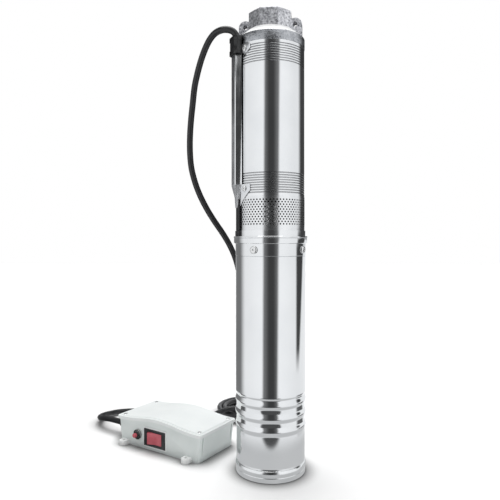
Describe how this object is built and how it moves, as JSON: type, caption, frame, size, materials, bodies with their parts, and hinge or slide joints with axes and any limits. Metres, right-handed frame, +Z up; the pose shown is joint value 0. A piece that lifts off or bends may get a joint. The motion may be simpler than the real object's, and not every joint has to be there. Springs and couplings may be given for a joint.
{
  "type": "borehole submersible pump",
  "caption": "Slim multistage borehole pump in stainless steel with a perforated inlet, cable guard, coiled lead and a control box with rocker switch and reset button.",
  "frame": {"origin": "centre of the motor's flat foot, on the floor and on the pump's axis", "axes": "+Z up the pump's axis to the outlet, -Y to the front of the view, +X to the right"},
  "size_m": [0.3424, 0.327, 0.6271],
  "materials": {
    "steel": "satin",
    "bright_steel": "polished",
    "turned_steel": "turned",
    "cast": "as cast",
    "laminations": "satin",
    "enamel_copper": "gloss",
    "rubber": "satin",
    "ceramic": "polished",
    "stage_plastic": "moulded",
    "brass": "turned",
    "pale_plastic": "moulded",
    "dark_plastic": "moulded",
    "red_plastic": "moulded"
  },
  "bodies": {
    "pump": {"motor_shell": "steel", "pump_barrel": "steel", "strainer": "steel", "cable_guard": "steel", "flange_screws": "bright_steel", "guard_screws": "bright_steel", "lower_bearing_outer": "bright_steel", "upper_bearing_outer": "bright_steel", "lid_screws": "bright_steel", "bottom_cap": "turned_steel", "suction_bracket": "turned_steel", "discharge_head": "cast", "end_bell": "cast", "lower_bearing_housing": "cast", "stator_core": "laminations", "lower_winding": "enamel_copper", "upper_winding": "enamel_copper", "diaphragm": "rubber", "guard_sleeve": "rubber", "motor_cable": "rubber", "cable_boot": "rubber", "bearing_bush": "rubber", "pump_lead": "rubber", "lead_coil": "rubber", "box_lead": "rubber", "seal_seat": "ceramic", "stage_bowl_1": "stage_plastic", "stage_bowl_2": "stage_plastic", "stage_bowl_3": "stage_plastic", "stage_bowl_4": "stage_plastic", "stage_bowl_5": "stage_plastic", "bearing_holder": "stage_plastic", "valve_seat": "brass", "valve_guide": "brass", "box_base": "pale_plastic", "box_lid": "pale_plastic", "terminal_block": "pale_plastic", "capacitor": "pale_plastic", "switch_body": "dark_plastic", "reset_body": "dark_plastic", "box_glands": "dark_plastic"},
    "rotor": {"motor_shaft": "bright_steel", "rotor_core": "laminations", "lower_bearing_inner": "bright_steel", "upper_bearing_inner": "bright_steel", "bearing_balls": "bright_steel", "seal_head": "rubber", "sand_slinger": "rubber", "shaft_coupling": "bright_steel", "pump_shaft": "bright_steel", "impeller_1": "stage_plastic", "impeller_2": "stage_plastic", "impeller_3": "stage_plastic", "impeller_4": "stage_plastic", "impeller_5": "stage_plastic"},
    "check_valve": {"check_valve": "rubber"},
    "rocker": {"rocker": "red_plastic"},
    "reset_button": {"reset_button": "red_plastic"}
  },
  "joints": [
    {"name": "rotor_spin", "type": "hinge", "parent": "pump", "child": "rotor", "pos_m": [0, 0, 0], "axis": [0, 0, 1], "continuous": true},
    {"name": "valve_lift", "type": "slide", "parent": "pump", "child": "check_valve", "axis": [0, 0, 1], "range_m": [0, 0.008]},
    {"name": "rocker_tilt", "type": "hinge", "parent": "pump", "child": "rocker", "pos_m": [-0.1679, 0.06028, 0.019], "axis": [0, 0, 1], "range_deg": [-18, 0]},
    {"name": "reset_press", "type": "slide", "parent": "pump", "child": "reset_button", "axis": [0.5446, 0.8387, 0], "range_m": [0, 0.0025], "stiffness_N_per_m": 400}
  ]
}
